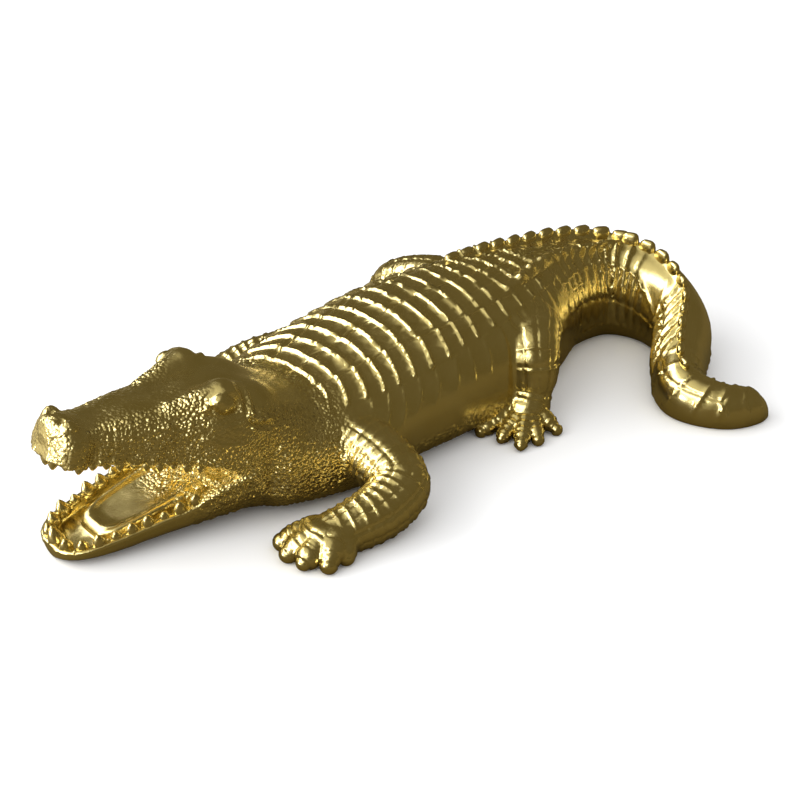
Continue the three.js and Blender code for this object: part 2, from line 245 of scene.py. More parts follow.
def on_backbone(x, y):
    """Distance along the backbone, and distance off it to the animal's right."""
    last = len(spine) - 1
    i = chart[
        np.clip(np.rint(x - CHART_LOW[0]).astype(int), 0, chart.shape[0] - 1),
        np.clip(np.rint(y - CHART_LOW[1]).astype(int), 0, chart.shape[1] - 1),
    ]
    for _ in range(3):
        dx, dy = x - spine[i, 0], y - spine[i, 1]
        on = dx * spine_way[i, 0] + dy * spine_way[i, 1]
        s = i * SPINE_STEP + on
        off = dy * spine_way[i, 0] - dx * spine_way[i, 1]
        i = np.clip(np.rint(s / SPINE_STEP).astype(int), 0, last)
    return s, off


def rounded(across, up, power_across, power_up):
    """Roughly the distance from a rounded section of half width and height one, as a share of the radius."""
    total = np.abs(across) ** power_across + np.abs(up) ** power_up
    return 1 - 1 / np.maximum(total, 1e-6) ** (2 / (power_across + power_up))


def body_form(p):
    """Distance from the trunk and tail, how far along it is, and the angle off the middle of the back."""
    s, off = on_backbone(p[:, 0], p[:, 1])
    top, under, width = (np.interp(s, table_s, t) for t in (table_top, table_under, table_width))
    middle = under + WAIST * (top - under)
    up = p[:, 2] - middle
    high = up > 0
    across = off / width
    rise = up / np.where(high, top - middle, middle - under)
    power = np.where(high, np.interp(s, table_s, table_round), BELLY_ROUND)
    away = np.hypot(off, up) * rounded(across, rise, power, power)
    away = np.maximum(away, np.maximum(-s, s - SPINE_LENGTH))
    half = power / 2
    angle = np.arctan2(np.sign(off) * np.abs(across) ** half, np.sign(up) * np.abs(rise) ** half)
    return away, s, np.degrees(angle)


# The armour of the back: rings of plates in columns, each with a raised lip along its rear edge, all cast in
# the trunk. Down the flank only the edges of the rings go on, over the hips the skin is folded, and on the
# neck and above the belly it is pebbled.
RING_FIRST = 37
TRUNK_PITCH = 7.43
RING_SLANT = [(37, 28), (52, 20), (67, 15), (90, 7), (111, 2)]
COLUMN_JOG = 0.9
PLATE_RISE = 1.2
# Seams between the columns, as degrees off the middle of the back.
INNER_SEAM = [(37, 18), (57, 22), (81, 28.5), (110, 30), (150, 30)]
OUTER_SEAM = [(37, 42), (46, 45), (60, 51), (79, 54), (98, 51), (111, 48), (130, 44)]
EXTRA_SEAM_FROM = 112
SEAM_DEPTH = 0.5
SEAM_WIDTH = 1.3
# Where each kind of skin starts, is full, starts to fade and has gone, along the backbone.
ARMOUR_SPAN = (28, 36, 146, 156)
FLANK_SPAN = (36, 46, 112, 122)
FOLD_SPAN = (106, 118, 140, 150)
NECK_END = (26, 42)
LOW_PEBBLES_END = (140, 150)
# Where it fades down the side, in degrees off the middle of the back.
FLANK_SIDE = (70, 84)
FOLD_SIDE = (95, 105)
LOW_PEBBLES_SIDE = (92, 104)
EDGE_HEIGHT = 0.5
FOLD_PITCH = 5.2
FOLD_HEIGHT = 0.45
SKIN_PEBBLE = 2
SKIN_PEBBLE_HEIGHT = 0.4


def ease(low, high, value):
    """Goes smoothly from 0 at low to 1 at high."""
    t = np.clip((value - low) / (high - low), 0, 1)
    return t * t * (3 - 2 * t)


def span(places, s):
    """1 between the middle two of four places along the backbone, and 0 beyond the outer two."""
    start, full, fading, gone = places
    return ease(start, full, s) * (1 - ease(fading, gone, s))


def ridge(away, width):
    """A rounded ridge of height one across a line, by the distance from it."""
    return np.exp(-(2 * away / width) ** 2)


def chance(cells, salt):
    """A fixed number from 0 to 1 for each whole-numbered cell."""
    x, y, z = cells[..., 0], cells[..., 1], cells[..., 2]
    bits = x * 73856093 ^ y * 19349663 ^ z * 83492791 ^ salt * 49979687
    bits = (bits ^ (bits >> 13)) * 1274126177
    return ((bits ^ (bits >> 16)) & 0xFFFF) / 0xFFFF


def waves(p, size, salt=0):
    """Smooth unevenness from -1 to 1, about so large."""
    q = p / size
    low = np.floor(q).astype(np.int64)
    t = q - low
    t = t * t * (3 - 2 * t)
    total = 0
    for i in (0, 1):
        for j in (0, 1):
            for k in (0, 1):
                share = np.abs(1 - i - t[:, 0]) * np.abs(1 - j - t[:, 1]) * np.abs(1 - k - t[:, 2])
                total = total + share * chance(low + (i, j, k), salt)
    return 2 * total - 1


def pebbles(p, size, salt=0):
    """Domed grains of about that size, from 0 between them to 1 on top."""
    q = p / size
    low = np.floor(q).astype(np.int64)
    first = np.full(len(p), 9.0)
    second = first.copy()
    for i in (-1, 0, 1):
        for j in (-1, 0, 1):
            for k in (-1, 0, 1):
                cell = low + (i, j, k)
                seed = np.stack([chance(cell, salt + axis) for axis in (1, 2, 3)], 1)
                away = np.linalg.norm(cell + seed - q, axis=1)
                second = np.minimum(second, np.maximum(away, first))
                first = np.minimum(first, away)
    return 1 - (1 - np.clip((second - first) / 0.55, 0, 1)) ** 2


def plates(u, pitch, rise, lip=1.15, drop=0.9):
    """Rows of flat plates, each with a steep lip along its rear edge that drops to the next."""
    t = np.mod(u, pitch)
    top = pitch - drop
    return rise * np.interp(t, (0, top - lip, top - 0.1, top + 0.15, pitch), (0, 0.12, 1, 1, 0))


def trunk_relief(p, s, angle, uneven, per_degree):
    """The height of the trunk's plates, folds and pebbles, and where the skin is pebbled."""
    round_back = np.abs(angle)
    u = s + along(RING_SLANT, s) * (1 - np.cos(np.radians(angle))) + 0.5 * uneven
    inner, outer = along(INNER_SEAM, s), along(OUTER_SEAM, s)
    column = (round_back > inner).astype(int) + (round_back > outer)
    ring = u - RING_FIRST - COLUMN_JOG * column + 0.25 * waves(p, 2.6, 6)
    on_back = 1 - ease(outer - 1, outer + 1, round_back)
    plate = plates(ring, TRUNK_PITCH, PLATE_RISE) + 0.12 * waves(p, 3.2, 12)
    seams = np.minimum(np.minimum(round_back, np.abs(round_back - inner)), np.abs(round_back - outer))
    more_seams = np.minimum(seams, np.abs(round_back - inner / 2))
    seams = np.where(s > EXTRA_SEAM_FROM, more_seams, seams) * per_degree
    plate = plate - SEAM_DEPTH * ridge(seams + 0.2 * uneven, SEAM_WIDTH)
    lift = span(ARMOUR_SPAN, s) * on_back * plate
    edge = np.abs(np.mod(ring + TRUNK_PITCH / 2, TRUNK_PITCH) - TRUNK_PITCH / 2)
    flank = (1 - on_back) * (1 - ease(*FLANK_SIDE, round_back)) * span(FLANK_SPAN, s)
    lift += flank * EDGE_HEIGHT * ridge(edge, SEAM_WIDTH)
    folds = span(FOLD_SPAN, s) * (1 - on_back) * (1 - ease(*FOLD_SIDE, round_back))
    lift += folds * FOLD_HEIGHT * np.sin(2 * math.pi * (s + 1.5 * uneven) / FOLD_PITCH)
    low = ease(*LOW_PEBBLES_SIDE, round_back) * (1 - ease(*LOW_PEBBLES_END, s))
    pebbled = np.maximum(1 - ease(*NECK_END, s), low)
    grown = 1 + 0.6 * ease(70, 100, round_back)
    return lift + pebbled * SKIN_PEBBLE_HEIGHT * pebbles(p, SKIN_PEBBLE) * grown, pebbled


# Down each side of the tail's root run three bands of ribs, cast in it: narrow ones under the crest, broad
# ones and faint ones, with a string of beads below. The bands' lower edges are in degrees off the middle.
TAIL_START = 150
TAIL_PITCH = 6.4
RIB_SPAN = (146, 158, 228, 244)
FIRST_BAND = (150, 200, 214, 240), (50, 44, 46, 74)
SECOND_BAND = (150, 240), (80, 84)
THIRD_SIDE = (100, 104)
FIRST_END = (206, 222)
SECOND_END = (215, 228)
RIB_HEIGHTS = (1, 1.2, 0.4)
BAND_EDGE = 0.45
BEAD_SPAN = (140, 160, 275, 285)
BEAD_ANGLE = 108
BEAD_PITCH = 5
BEAD_HEIGHT = 0.7
BEAD_WIDTH = 2.4
CREST_MEET = 205
LEFT_CREST = [(117, 30), (130, 26), (144, 22), (166, 23), (184, 24), (196, 16), (CREST_MEET, 2)]
RIGHT_CREST = [(117, 27), (145, 27), (CREST_MEET, 0)]


def crest_angle(s, angle):
    """How far the crest on this side is off the middle of the back."""
    return np.where(angle < 0, along(LEFT_CREST, s), along(RIGHT_CREST, s))


def with_ribs(lift, s, angle, uneven, per_degree):
    """The skin's height with the tail's ribs and beads."""
    round_back = np.abs(angle)
    crest = crest_angle(s, angle)
    first_band, second_band = np.interp(s, *FIRST_BAND), np.interp(s, *SECOND_BAND)
    below_first = ease(first_band - 1.5, first_band + 1.5, round_back)
    in_first = (1 - below_first) * ease(crest + 3, crest + 7, round_back) * (1 - ease(*FIRST_END, s))
    below_second = ease(second_band - 2, second_band + 2, round_back)
    in_second = below_first * (1 - below_second) * (1 - 0.7 * ease(*SECOND_END, s))
    in_third = below_second * (1 - ease(*THIRD_SIDE, round_back))
    gone = s - TAIL_START + 0.5 * uneven
    rib = np.abs(np.cos(math.pi * gone / TAIL_PITCH))
    ribbed = span(RIB_SPAN, s)
    first, second, third = RIB_HEIGHTS
    lift += ribbed * in_first * first * rib ** 6
    lift += ribbed * (in_second * second * rib + in_third * third * rib)
    lift += ribbed * BAND_EDGE * ridge((round_back - first_band) * per_degree, 1.6)
    lift -= ribbed * BAND_EDGE * ridge((round_back - second_band) * per_degree, 1.2)
    beads = np.abs(np.cos(math.pi * gone / BEAD_PITCH)) ** 0.5
    string = ridge((round_back - BEAD_ANGLE) * per_degree, BEAD_WIDTH)
    return lift + span(BEAD_SPAN, s) * BEAD_HEIGHT * beads * string


# Two crests rise behind the hips as ribbons cast in the tail, with a pebbled channel between them. They close
# in on its middle, where a single low ridge goes on.
CREST_START = 128
CREST_END = 284
CREST_RISE = (118, 136)
CREST_WIDTH = 4.6
LEFT_CREST_HEIGHT = 3
LEFT_CREST_SWING = 0.5
RIGHT_CREST_HEIGHT = 2.6
KNOB_PITCH = 7.4
CHANNEL_DEPTH = 0.9
SINGLE_HEIGHT = 1.4
SINGLE_WIDTH = 4


def with_crests(lift, p, s, angle, per_degree):
    """The skin's height with the crests, and where the channel between them is."""
    round_back = np.abs(angle)
    crest = crest_angle(s, angle)
    wall = span((*CREST_RISE, CREST_MEET - 10, CREST_MEET), s)
    scalloped = LEFT_CREST_HEIGHT + LEFT_CREST_SWING * np.cos(2 * math.pi * s / KNOB_PITCH)
    ribbon = np.where(angle < 0, scalloped, RIGHT_CREST_HEIGHT)
    lift += wall * ribbon * ridge((round_back - crest) * per_degree, CREST_WIDTH)
    channel = wall * (1 - ease(crest - 7, crest - 2, round_back))
    lift -= channel * (CHANNEL_DEPTH - 0.5 * pebbles(p, 3.4, 61))
    single = span((CREST_MEET - 8, CREST_MEET, CREST_END - 30, CREST_END), s)
    return lift + single * SINGLE_HEIGHT * ridge(angle * per_degree, SINGLE_WIDTH), channel


# The end of the tail is cast with slanted scales on the outside of its bend, then broad rings, then narrower
# ones to the tip. All end above the plain underside.
END_SIDE = (96, 104)
SLANTED_SPAN = (230, 240, 268, 276)
SLANTED_PITCH = 6.2
SLANTED_SEAM = 52
BROAD_SPAN = (268, 276, 298, 302)
BROAD_FIRST = 296
BROAD_PITCH = 7.2
BROAD_SEAM = 48
END_SEAM = 0.4
TIP_SPAN = (297, 299, SPINE_LENGTH - 5, SPINE_LENGTH - 3)
TIP_FIRST = 299.5
TIP_PITCH = 6.3


def with_tail_end(lift, s, angle, uneven, per_degree):
    """The skin's height with the scales and rings of the end of the tail."""
    round_back = np.abs(angle)
    on_side = 1 - ease(*END_SIDE, round_back)
    slanted = span(SLANTED_SPAN, s) * ease(1, 5, -angle) * on_side
    lift += slanted * plates(s - 0.14 * round_back + 0.8 * uneven, SLANTED_PITCH, 1)
    lift -= slanted * END_SEAM * ridge((round_back - SLANTED_SEAM) * per_degree, 1.3)
    broad = span(BROAD_SPAN, s) * on_side
    lift += broad * plates(s - BROAD_FIRST + 0.05 * round_back, BROAD_PITCH, 0.7)
    seams = np.minimum(round_back, np.abs(round_back - BROAD_SEAM)) * per_degree
    lift -= broad * END_SEAM * ridge(seams, 1.1)
    turn = s + 0.8 * np.sin(np.radians(angle) * 5) + 0.6 * uneven
    return lift + span(TIP_SPAN, s) * on_side * plates(turn - TIP_FIRST, TIP_PITCH, 0.6)


def body_relief(p, s, angle):
    """How far the skin stands out here, and how pebbled it is."""
    width, top = np.interp(s, table_s, table_width), np.interp(s, table_s, table_top)
    per_degree = (width + 0.58 * top) / 2 * math.pi / 180
    uneven = waves(p, 9, 5)
    lift, pebbled = trunk_relief(p, s, angle, uneven, per_degree)
    lift = with_ribs(lift, s, angle, uneven, per_degree)
    lift, channel = with_crests(lift, p, s, angle, per_degree)
    return with_tail_end(lift, s, angle, uneven, per_degree), np.maximum(pebbled, 0.3 * channel)


# The skull and upper jaw, drawn forward from the corner of the mouth, with heights above the line of teeth.
# The nose, the brows over the eyes and the rear corners of the skull stand up from it, all cast in one.
JAW_JOINT = np.array([-104, -14.5, 18])
HEAD_TURN = 3
UPPER_TILT = 20.5
LOWER_TILT = -11.5
UPPER_LENGTH = 65
SKULL_WIDTH = [
    (-34, 20), (-20, 25), (-6, 26), (6, 23.5), (18, 19), (30, 16), (42, 13.5), (50, 12), (58, 13),
    (63, 10.5), (UPPER_LENGTH, 5),
]
SKULL_TOP = [
    (-34, 30), (-20, 33.8), (-6, 35.6), (6, 34.8), (15, 31.5), (26, 26.6), (38, 22.4), (50, 17), (58, 14.5),
    (63, 12), (UPPER_LENGTH, 8),
]
SKULL_UNDER = [
    (-34, -3), (-20, -5), (-10, -2), (0, 5), (8, 6.5), (20, 5.8), (30, 4.6), (42, 3.6), (50, 2.2), (56, 1),
    (UPPER_LENGTH, 1),
]
# Round forms that are set on it or cut out of it: middle, half sizes (forward, aside, up) and fillet.
EYE = (9.2, 17.7, 30.6)
NOSE = ((60, 0, 11), (6.5, 9.5, 5.6), 3)
NOSTRIL_RIM = ((60.5, 6.2, 13.8), (3.2, 2.8, 3), 1)
NOSTRIL = ((62.8, 3.6, 16.2), (1.7, 1.3, 1.6), 0.8)
TOOTH_NOTCH = ((51.5, 14.2, 6), (2.2, 2.4, 7), 2.5)
REAR_CORNER = ((-6, 10, 30.5), (8, 7, 5), 4)
EYE_SOCKET = ((9, 20.9, 30.6), (6.2, 3.3, 3.7), 1)
EYEBALL = (EYE, (4.7, 4, 3.5), 0.3)
# The brow over an eye (forward, aside, up, radius), tapering down on to the snout.
BROW = np.array([(0, 11.5, 30, 5), (7.5, 13.2, 31.2, 6.6), (24, 9.8, 24, 3)])
BROW_FILLET = 3
SKULL_PEBBLE = 1.8
SKULL_PEBBLE_HEIGHT = 0.42
# Lines on the side of the head (forward, up), with their width and height: the lids, the rim behind the eye
# and the folds of the ear.
HEAD_LINES = [
    ([(15.8, 27.5), (13, 31.8), (9.8, 35), (6.8, 35.6), (3.6, 33.4), (2.6, 30.5)], 1.8, 1),
    ([(15, 27.2), (11, 26.9), (7, 27.2), (3.2, 29)], 1.7, 0.7),
    ([(2, 37.5), (-0.2, 34.8), (-1, 31.5), (-0.4, 29.2)], 1.7, 1.1),
    ([(-0.6, 28.4), (-3.5, 27), (-9, 27.6)], 1.7, 1.0),
    ([(-1, 26.6), (-4, 25.2), (-9, 25.6)], 1.5, -0.8),
    ([(-1.6, 24.6), (-6.5, 23.2)], 1.6, 0.7),
    ([(14, 18), (8, 16.5), (0, 18.5)], 2.2, 0.5),
]


def into_head(p, tilt):
    """The same points, seen from the corner of the mouth: forward, to the animal's left, and up."""
    turn, tilt = math.radians(180 - HEAD_TURN), math.radians(tilt)
    q = p - JAW_JOINT
    x = math.cos(turn) * q[:, 0] + math.sin(turn) * q[:, 1]
    y = -math.sin(turn) * q[:, 0] + math.cos(turn) * q[:, 1]
    z = q[:, 2]
    sine, cosine = math.sin(tilt), math.cos(tilt)
    return np.stack([cosine * x + sine * z, y, -sine * x + cosine * z], 1)


def shell_form(q, width, top, under, ends, widest, power_up, power_down):
    """Distance from a long closed form along the head's x, built of rounded sections."""
    x, y, z = q.T
    w, high, low = along(width, x), along(top, x), along(under, x)
    middle = low + widest * (high - low)
    up = z - middle
    rise = up / np.where(up > 0, high - middle, middle - low)
    away = np.hypot(y, up) * rounded(y / w, rise, 2.5, np.where(up > 0, power_up, power_down))
    return np.maximum(away, np.maximum(ends[0] - x, x - ends[1]))


def ball(q, centre, size):
    """Distance from an ellipsoid."""
    k = (q - np.array(centre)) / np.array(size)
    r = np.linalg.norm(k, axis=1)
    return (r - 1) * min(size) * 0.5 + (r - 1) * np.mean(size) * 0.5


def blend(a, b, k):
    """The nearer of two distances, filleted where they meet."""
    h = np.clip(0.5 + 0.5 * (b - a) / k, 0, 1)
    return b + (a - b) * h - k * h * (1 - h)


def carve(a, b, k):
    """The first form less the second, with a rounded edge."""
    return -blend(-a, b, k)


def chain_form(p, line):
    """Distance from a chain of round sections, and the place along it that is nearest, counted in sections."""
    centre, radius = line[:, :3], line[:, 3]
    best = np.full(len(p), np.inf)
    place = np.zeros(len(p))
    for i in range(len(line) - 1):
        leg = centre[i + 1] - centre[i]
        t = np.clip((p - centre[i]) @ leg / (leg @ leg), 0, 1)
        thick = radius[i] + t * (radius[i + 1] - radius[i])
        away = np.linalg.norm(p - centre[i] - t[:, None] * leg, axis=1) - thick
        closer = away < best
        best[closer] = away[closer]
        place[closer] = i + t[closer]
    return best, place


def line_away(x, y, points):
    """Distance from a line of points in a plane."""
    best = np.full(len(x), np.inf)
    for (ax, ay), (bx, by) in zip(points, points[1:]):
        t = np.clip(((x - ax) * (bx - ax) + (y - ay) * (by - ay)) / ((bx - ax) ** 2 + (by - ay) ** 2), 0, 1)
        best = np.minimum(best, np.hypot(x - ax - t * (bx - ax), y - ay - t * (by - ay)))
    return best


def with_ball(away, m, form):
    """A form with one of the round forms set on it."""
    centre, size, fillet = form
    return blend(away, ball(m, centre, size), fillet)


def without_ball(away, m, form):
    """A form with one of the round forms cut out of it."""
    centre, size, fillet = form
    return carve(away, ball(m, centre, size), fillet)


def skull_form(q):
    """Distance from the skull and upper jaw."""
    rear = ease(10, -2, q[:, 0])
    away = shell_form(
        q, SKULL_WIDTH, SKULL_TOP, SKULL_UNDER, ends=(-34, UPPER_LENGTH), widest=0.12, power_up=4,
        power_down=4 - 1.7 * rear,
    )
    m = np.stack([q[:, 0], np.abs(q[:, 1]), q[:, 2]], 1)
    away = with_ball(with_ball(away, m, NOSE), m, NOSTRIL_RIM)
    away = without_ball(without_ball(away, m, NOSTRIL), m, TOOTH_NOTCH)
    away = blend(away, chain_form(m, BROW)[0], BROW_FILLET)
    away = without_ball(with_ball(away, m, REAR_CORNER), m, EYE_SOCKET)
    return with_ball(away, m, EYEBALL)


def skull_relief(q, p):
    """The height of the skull's skin, and how pebbled it is: bare on the cheek, the brow and the eye."""
    x, y, z = q[:, 0], np.abs(q[:, 1]), q[:, 2]
    side = ease(0.45, 0.7, y / along(SKULL_WIDTH, x))
    on_side = ease(10, 13, y)
    bare = 0.8 * ridge(np.hypot(x - 7, (z - 20) * 0.9), 11) + 0.7 * ease(20, 12, x) * ease(29, 33, z)
    bare = bare + on_side * ridge(np.hypot(x - EYE[0], z - EYE[2]), 9)
    grain = np.clip(0.35 + 0.65 * side * (1 - 0.6 * ease(54, 58, x)) - bare, 0.05, 1)
    lift = grain * (SKULL_PEBBLE_HEIGHT * pebbles(p, SKULL_PEBBLE, 31) + 0.15 * waves(p, 4, 33))
    for line, width, height in HEAD_LINES:
        lift += on_side * height * ridge(line_away(x, z, line), width)
    edge = ridge(z - along(SKULL_UNDER, x), 5) * ease(8, 14, x)
    return lift + edge * 0.5 * np.cos(x * 1.05) * ease(0.6, 0.9, y / along(SKULL_WIDTH, x)), grain


# The lower jaw, cast in one with the skull and drawn in the same way, with its rim at height 0. A trough in
# it holds the tongue, and folds of skin run back from the corner of the mouth.
LOWER_LENGTH = 61
JAW_WIDTH = [
    (-26, 19), (-12, 25.5), (0, 25), (15, 22), (30, 19), (44, 16.5), (54, 13.4), (59, 9), (LOWER_LENGTH, 4),
]
JAW_TOP = [(-26, 4), (-5, 4.8), (2, 4.6), (7, 3.4), (12, 1.2), (18, 0), (LOWER_LENGTH, 0)]
JAW_UNDER = [
    (-26, -12), (-12, -15.5), (0, -15.5), (15, -12.5), (30, -10.5), (45, -8.5), (LOWER_LENGTH, -5.5),
]
TROUGH_DEPTH = 4.6
TROUGH_ENDS = (4, 58)
LIP = 3.0
TROUGH_WIDTH = [(x, max(w - LIP, 1.5)) for x, w in JAW_WIDTH]
TONGUE_MIDDLE = 22
TONGUE_REACH = 23.5
TONGUE_WIDTH = (8, 44), (14.5, 10.5)
TONGUE_RIM = 1.1
JAW_PEBBLE = 1.6
JAW_PEBBLE_HEIGHT = 0.28
FLESH_PEBBLE = 4.5
FLESH_HEIGHT = 0.9
MOUTH_FOLDS = [
    ([(14, 3), (6, 5.5), (-4, 8), (-14, 8)], 1.6, 0.6),
    ([(10, 0.5), (2, 2), (-10, 3), (-20, 2)], 1.8, 0.7),
    ([(4, -2), (-6, -2.5), (-18, -3)], 2.0, 0.6),
]


def jaw_form(q):
    """Distance from the lower jaw with the tongue in it."""
    away = shell_form(
        q, JAW_WIDTH, JAW_TOP, JAW_UNDER, ends=(-26, LOWER_LENGTH), widest=0.85, power_up=4, power_down=2.8,
    )
    x, y, z = q.T
    start, end = TROUGH_ENDS
    inside = np.maximum(np.abs(y) - along(TROUGH_WIDTH, x), np.maximum(start - x, x - end))
    away = carve(away, np.maximum(inside, -TROUGH_DEPTH - z), 1.5)
    across = np.abs(y) / np.interp(x, *TONGUE_WIDTH)
    lengthwise = (x - TONGUE_MIDDLE) / TONGUE_REACH
    tongue = (np.sqrt(lengthwise ** 4 + across ** 4) ** 0.5 - 1) * 12
    top = z + 1.2 - 0.05 * (TONGUE_MIDDLE - x) - TONGUE_RIM * ridge(tongue + 1.6, 3)
    return blend(away, np.maximum(-blend(-tongue, -top, 1.2), -8 - z), 0.5)


def jaw_relief(q, p):
    """The height of the skin on the lower jaw, pebbled at the rear, and how pebbled it is."""
    x, y, z = q.T
    outside = ease(0.8, 0.95, np.abs(y) / along(JAW_WIDTH, x))
    rear = ease(26, 4, x)
    lift = JAW_PEBBLE_HEIGHT * pebbles(p, JAW_PEBBLE, 41) * rear + 0.1 * waves(p, 4, 42)
    lift += FLESH_HEIGHT * pebbles(p, FLESH_PEBBLE, 43) * ease(18, 8, x) * (1 - outside)
    for line, width, height in MOUTH_FOLDS:
        lift += outside * height * ridge(line_away(x, z, line), width)
    return lift + 0.35 * ridge(z + 0.9, 1.5) * outside * ease(10, 20, x), rear


# The legs, cast in one with the trunk: each is a chain of round sections along a smooth line, from inside it
# to the foot. Toes fan out from the foot, the inner one first.
LEFT_FRONT = [
    (-52, -24, 20, 11), (-52, -38, 19, 11), (-50, -52, 17, 11), (-51, -65, 13, 10.5), (-62, -70, 10, 9.8),
    (-73, -70, 8, 9), (-81, -68, 6, 8),
]
LEFT_HIND = [
    (50, -12, 22, 13), (41.5, -27, 27, 12), (34, -37.5, 28, 9.8), (32, -40.5, 21, 9), (31, -41.5, 14, 7.5),
    (28, -42, 7, 7),
]
RIGHT_FRONT = [
    (-48, 8, 20, 11), (-40, 22, 18, 10.5), (-31, 33, 14, 10), (-28, 41, 11, 9), (-36, 46, 9, 8.5),
    (-46, 48, 7, 7.5), (-54, 48, 5, 6.5),
]
RIGHT_HIND = [
    (48, 8, 22, 13), (41, 28, 24, 12), (34, 44, 21, 10), (33, 49, 14, 8.5), (30, 50, 9, 7.5), (24, 50, 6, 7),
]
# Height and thickness of a toe at shares of its length, for the front feet and for the hind feet.
FRONT_TOE = [(0.1, 6.4, 5.4), (0.4, 6.8, 5.3), (0.6, 5.8, 4.8), (0.78, 4.3, 4.1), (0.92, 3, 2.8)]
HIND_TOE = [(0.05, 6.5, 4), (0.35, 5.4, 3.3), (0.6, 4.2, 3.0), (0.8, 3, 2.5), (0.92, 2.1, 1.8)]
LEGS = [
    (LEFT_FRONT, FRONT_TOE, [(-98, -56), (-101, -64), (-100, -72.5), (-93.5, -79.5), (-85, -79)]),
    (LEFT_HIND, HIND_TOE, [(5.5, -40), (8.1, -49.6), (10.6, -58.8), (19.4, -59.3), (30.6, -57.7)]),
    (RIGHT_FRONT, FRONT_TOE, [(-64, 37), (-71, 43), (-73, 50), (-70, 58), (-62, 61)]),
    (RIGHT_HIND, HIND_TOE, [(6, 43), (4, 51), (8, 60), (17, 66), (28, 66)]),
]
PALM = (8, 8, 6)
TOE_FILLET = 1.2
ANKLE_FILLET = 3
LIMB_STEP = 4


def frames_along(line):
    """Two unit vectors across each point of a line, carried along it without twisting."""
    way = np.gradient(line, axis=0)
    way /= np.linalg.norm(way, axis=1)[:, None]
    across = np.zeros_like(way)
    across[0] = np.cross(way[0], (0, 0, 1))
    across[0] /= np.linalg.norm(across[0])
    for i in range(1, len(way)):
        across[i] = across[i - 1] - way[i] * np.dot(across[i - 1], way[i])
        across[i] /= np.linalg.norm(across[i])
    return across, np.cross(way, across)


leg_lines = []
for knots, toe_line, tips in LEGS:
    line, _ = smooth_line(knots, LIMB_STEP)
    x, y, z = knots[-1][:3]
    toes = []
    for tip_x, tip_y in tips:
        toe = [(x + (tip_x - x) * t, y + (tip_y - y) * t, height, radius) for t, height, radius in toe_line]
        toes.append(np.array(toe))
    leg_lines.append((line, (x, y, z), toes))


def foot_form(p, palm, toes):
    """Distance from a foot with its toes."""
    foot = ball(p, palm, PALM)
    for toe in toes:
        foot = blend(foot, chain_form(p, toe)[0], TOE_FILLET)
    return foot


def leg_form(p, leg):
    """Distance from a leg with its foot."""
    line, palm, toes = leg
    return blend(chain_form(p, line)[0], foot_form(p, palm, toes), ANKLE_FILLET)


# Rows of square scales go round each limb, and rings across each toe, cast in the skin.
SCALE_BAND = 4
SCALE_SIDES = 11
SCALE_RISE = 0.6
SCALE_SEAM = 0.45
TOE_RING = 2.7
TOE_RING_HEIGHT = 0.75
LEG_PEBBLED = 0.1


def limb_relief(p, line):
    """The height of the scales round a limb, and how pebbled it is."""
    _, place = chain_form(p, line)
    across, over = frames_along(line[:, :3])
    i = np.clip(np.rint(place).astype(int), 0, len(line) - 1)
    off = p - line[i, :3]
    turn = np.arctan2(np.sum(off * over[i], 1), np.sum(off * across[i], 1)) / (2 * math.pi) * SCALE_SIDES
    gone = place * LIMB_STEP + 0.6 * waves(p, 9, 21)
    column_seam = np.abs(turn - np.rint(turn)) * 2 * math.pi * np.linalg.norm(off, axis=1) / SCALE_SIDES
    lift = plates(gone, SCALE_BAND, SCALE_RISE, 1.1, 0.8) + SCALE_SEAM * ease(0, 1, column_seam)
    return lift + 0.08 * waves(p, 4, 22), np.full(len(p), LEG_PEBBLED)


def foot_relief(p, toes):
    """The height of the rings across the toes, and how pebbled the foot is."""
    best = np.full(len(p), np.inf)
    gone = np.zeros(len(p))
    for toe in toes:
        away, place = chain_form(p, toe)
        length = np.linalg.norm(toe[-1, :3] - toe[0, :3])
        closer = away < best
        best[closer] = away[closer]
        gone[closer] = (place * length / (len(toe) - 1))[closer]
    lift = TOE_RING_HEIGHT * np.abs(np.sin(math.pi * gone / TOE_RING)) * ease(5, 0, best)
    return lift, np.full(len(p), LEG_PEBBLED)


# The casting is all of these forms in one, filleted where they meet and cut flat where it lies on the ground.
# The head and the legs are only worked out inside a box round each.
JAW_FILLET = 2
NECK_FILLET = 9
LEG_FILLET = 2.5
FORM_MARGIN = 8
SKIN_MARGIN = 4
SKIN_BLEND = 0.8
HEAD_LOW = (-168, -45, -2)
HEAD_HIGH = (-66, 18, 58)
leg_boxes = []
for line, palm, toes in leg_lines:
    every = np.vstack([line, *toes])
    leg_boxes.append(((every[:, :3] - every[:, 3:]).min(0), (every[:, :3] + every[:, 3:]).max(0)))


def near(p, low, high, margin):
    """Which points are in a box or within a margin of it."""
    return np.all((p > np.array(low) - margin) & (p < np.array(high) + margin), axis=1)


def whole_form(p):
    """Distance from the whole casting, cut flat at the ground."""
    away, _, _ = body_form(p)
    inside = near(p, HEAD_LOW, HEAD_HIGH, FORM_MARGIN)
    if inside.any():
        q = p[inside]
        head = blend(skull_form(into_head(q, UPPER_TILT)), jaw_form(into_head(q, LOWER_TILT)), JAW_FILLET)
        away[inside] = blend(away[inside], head, NECK_FILLET)
    for leg, (low, high) in zip(leg_lines, leg_boxes):
        inside = near(p, low, high, FORM_MARGIN)
        if inside.any():
            away[inside] = blend(away[inside], leg_form(p[inside], leg), LEG_FILLET)
    return np.maximum(away, -p[:, 2])


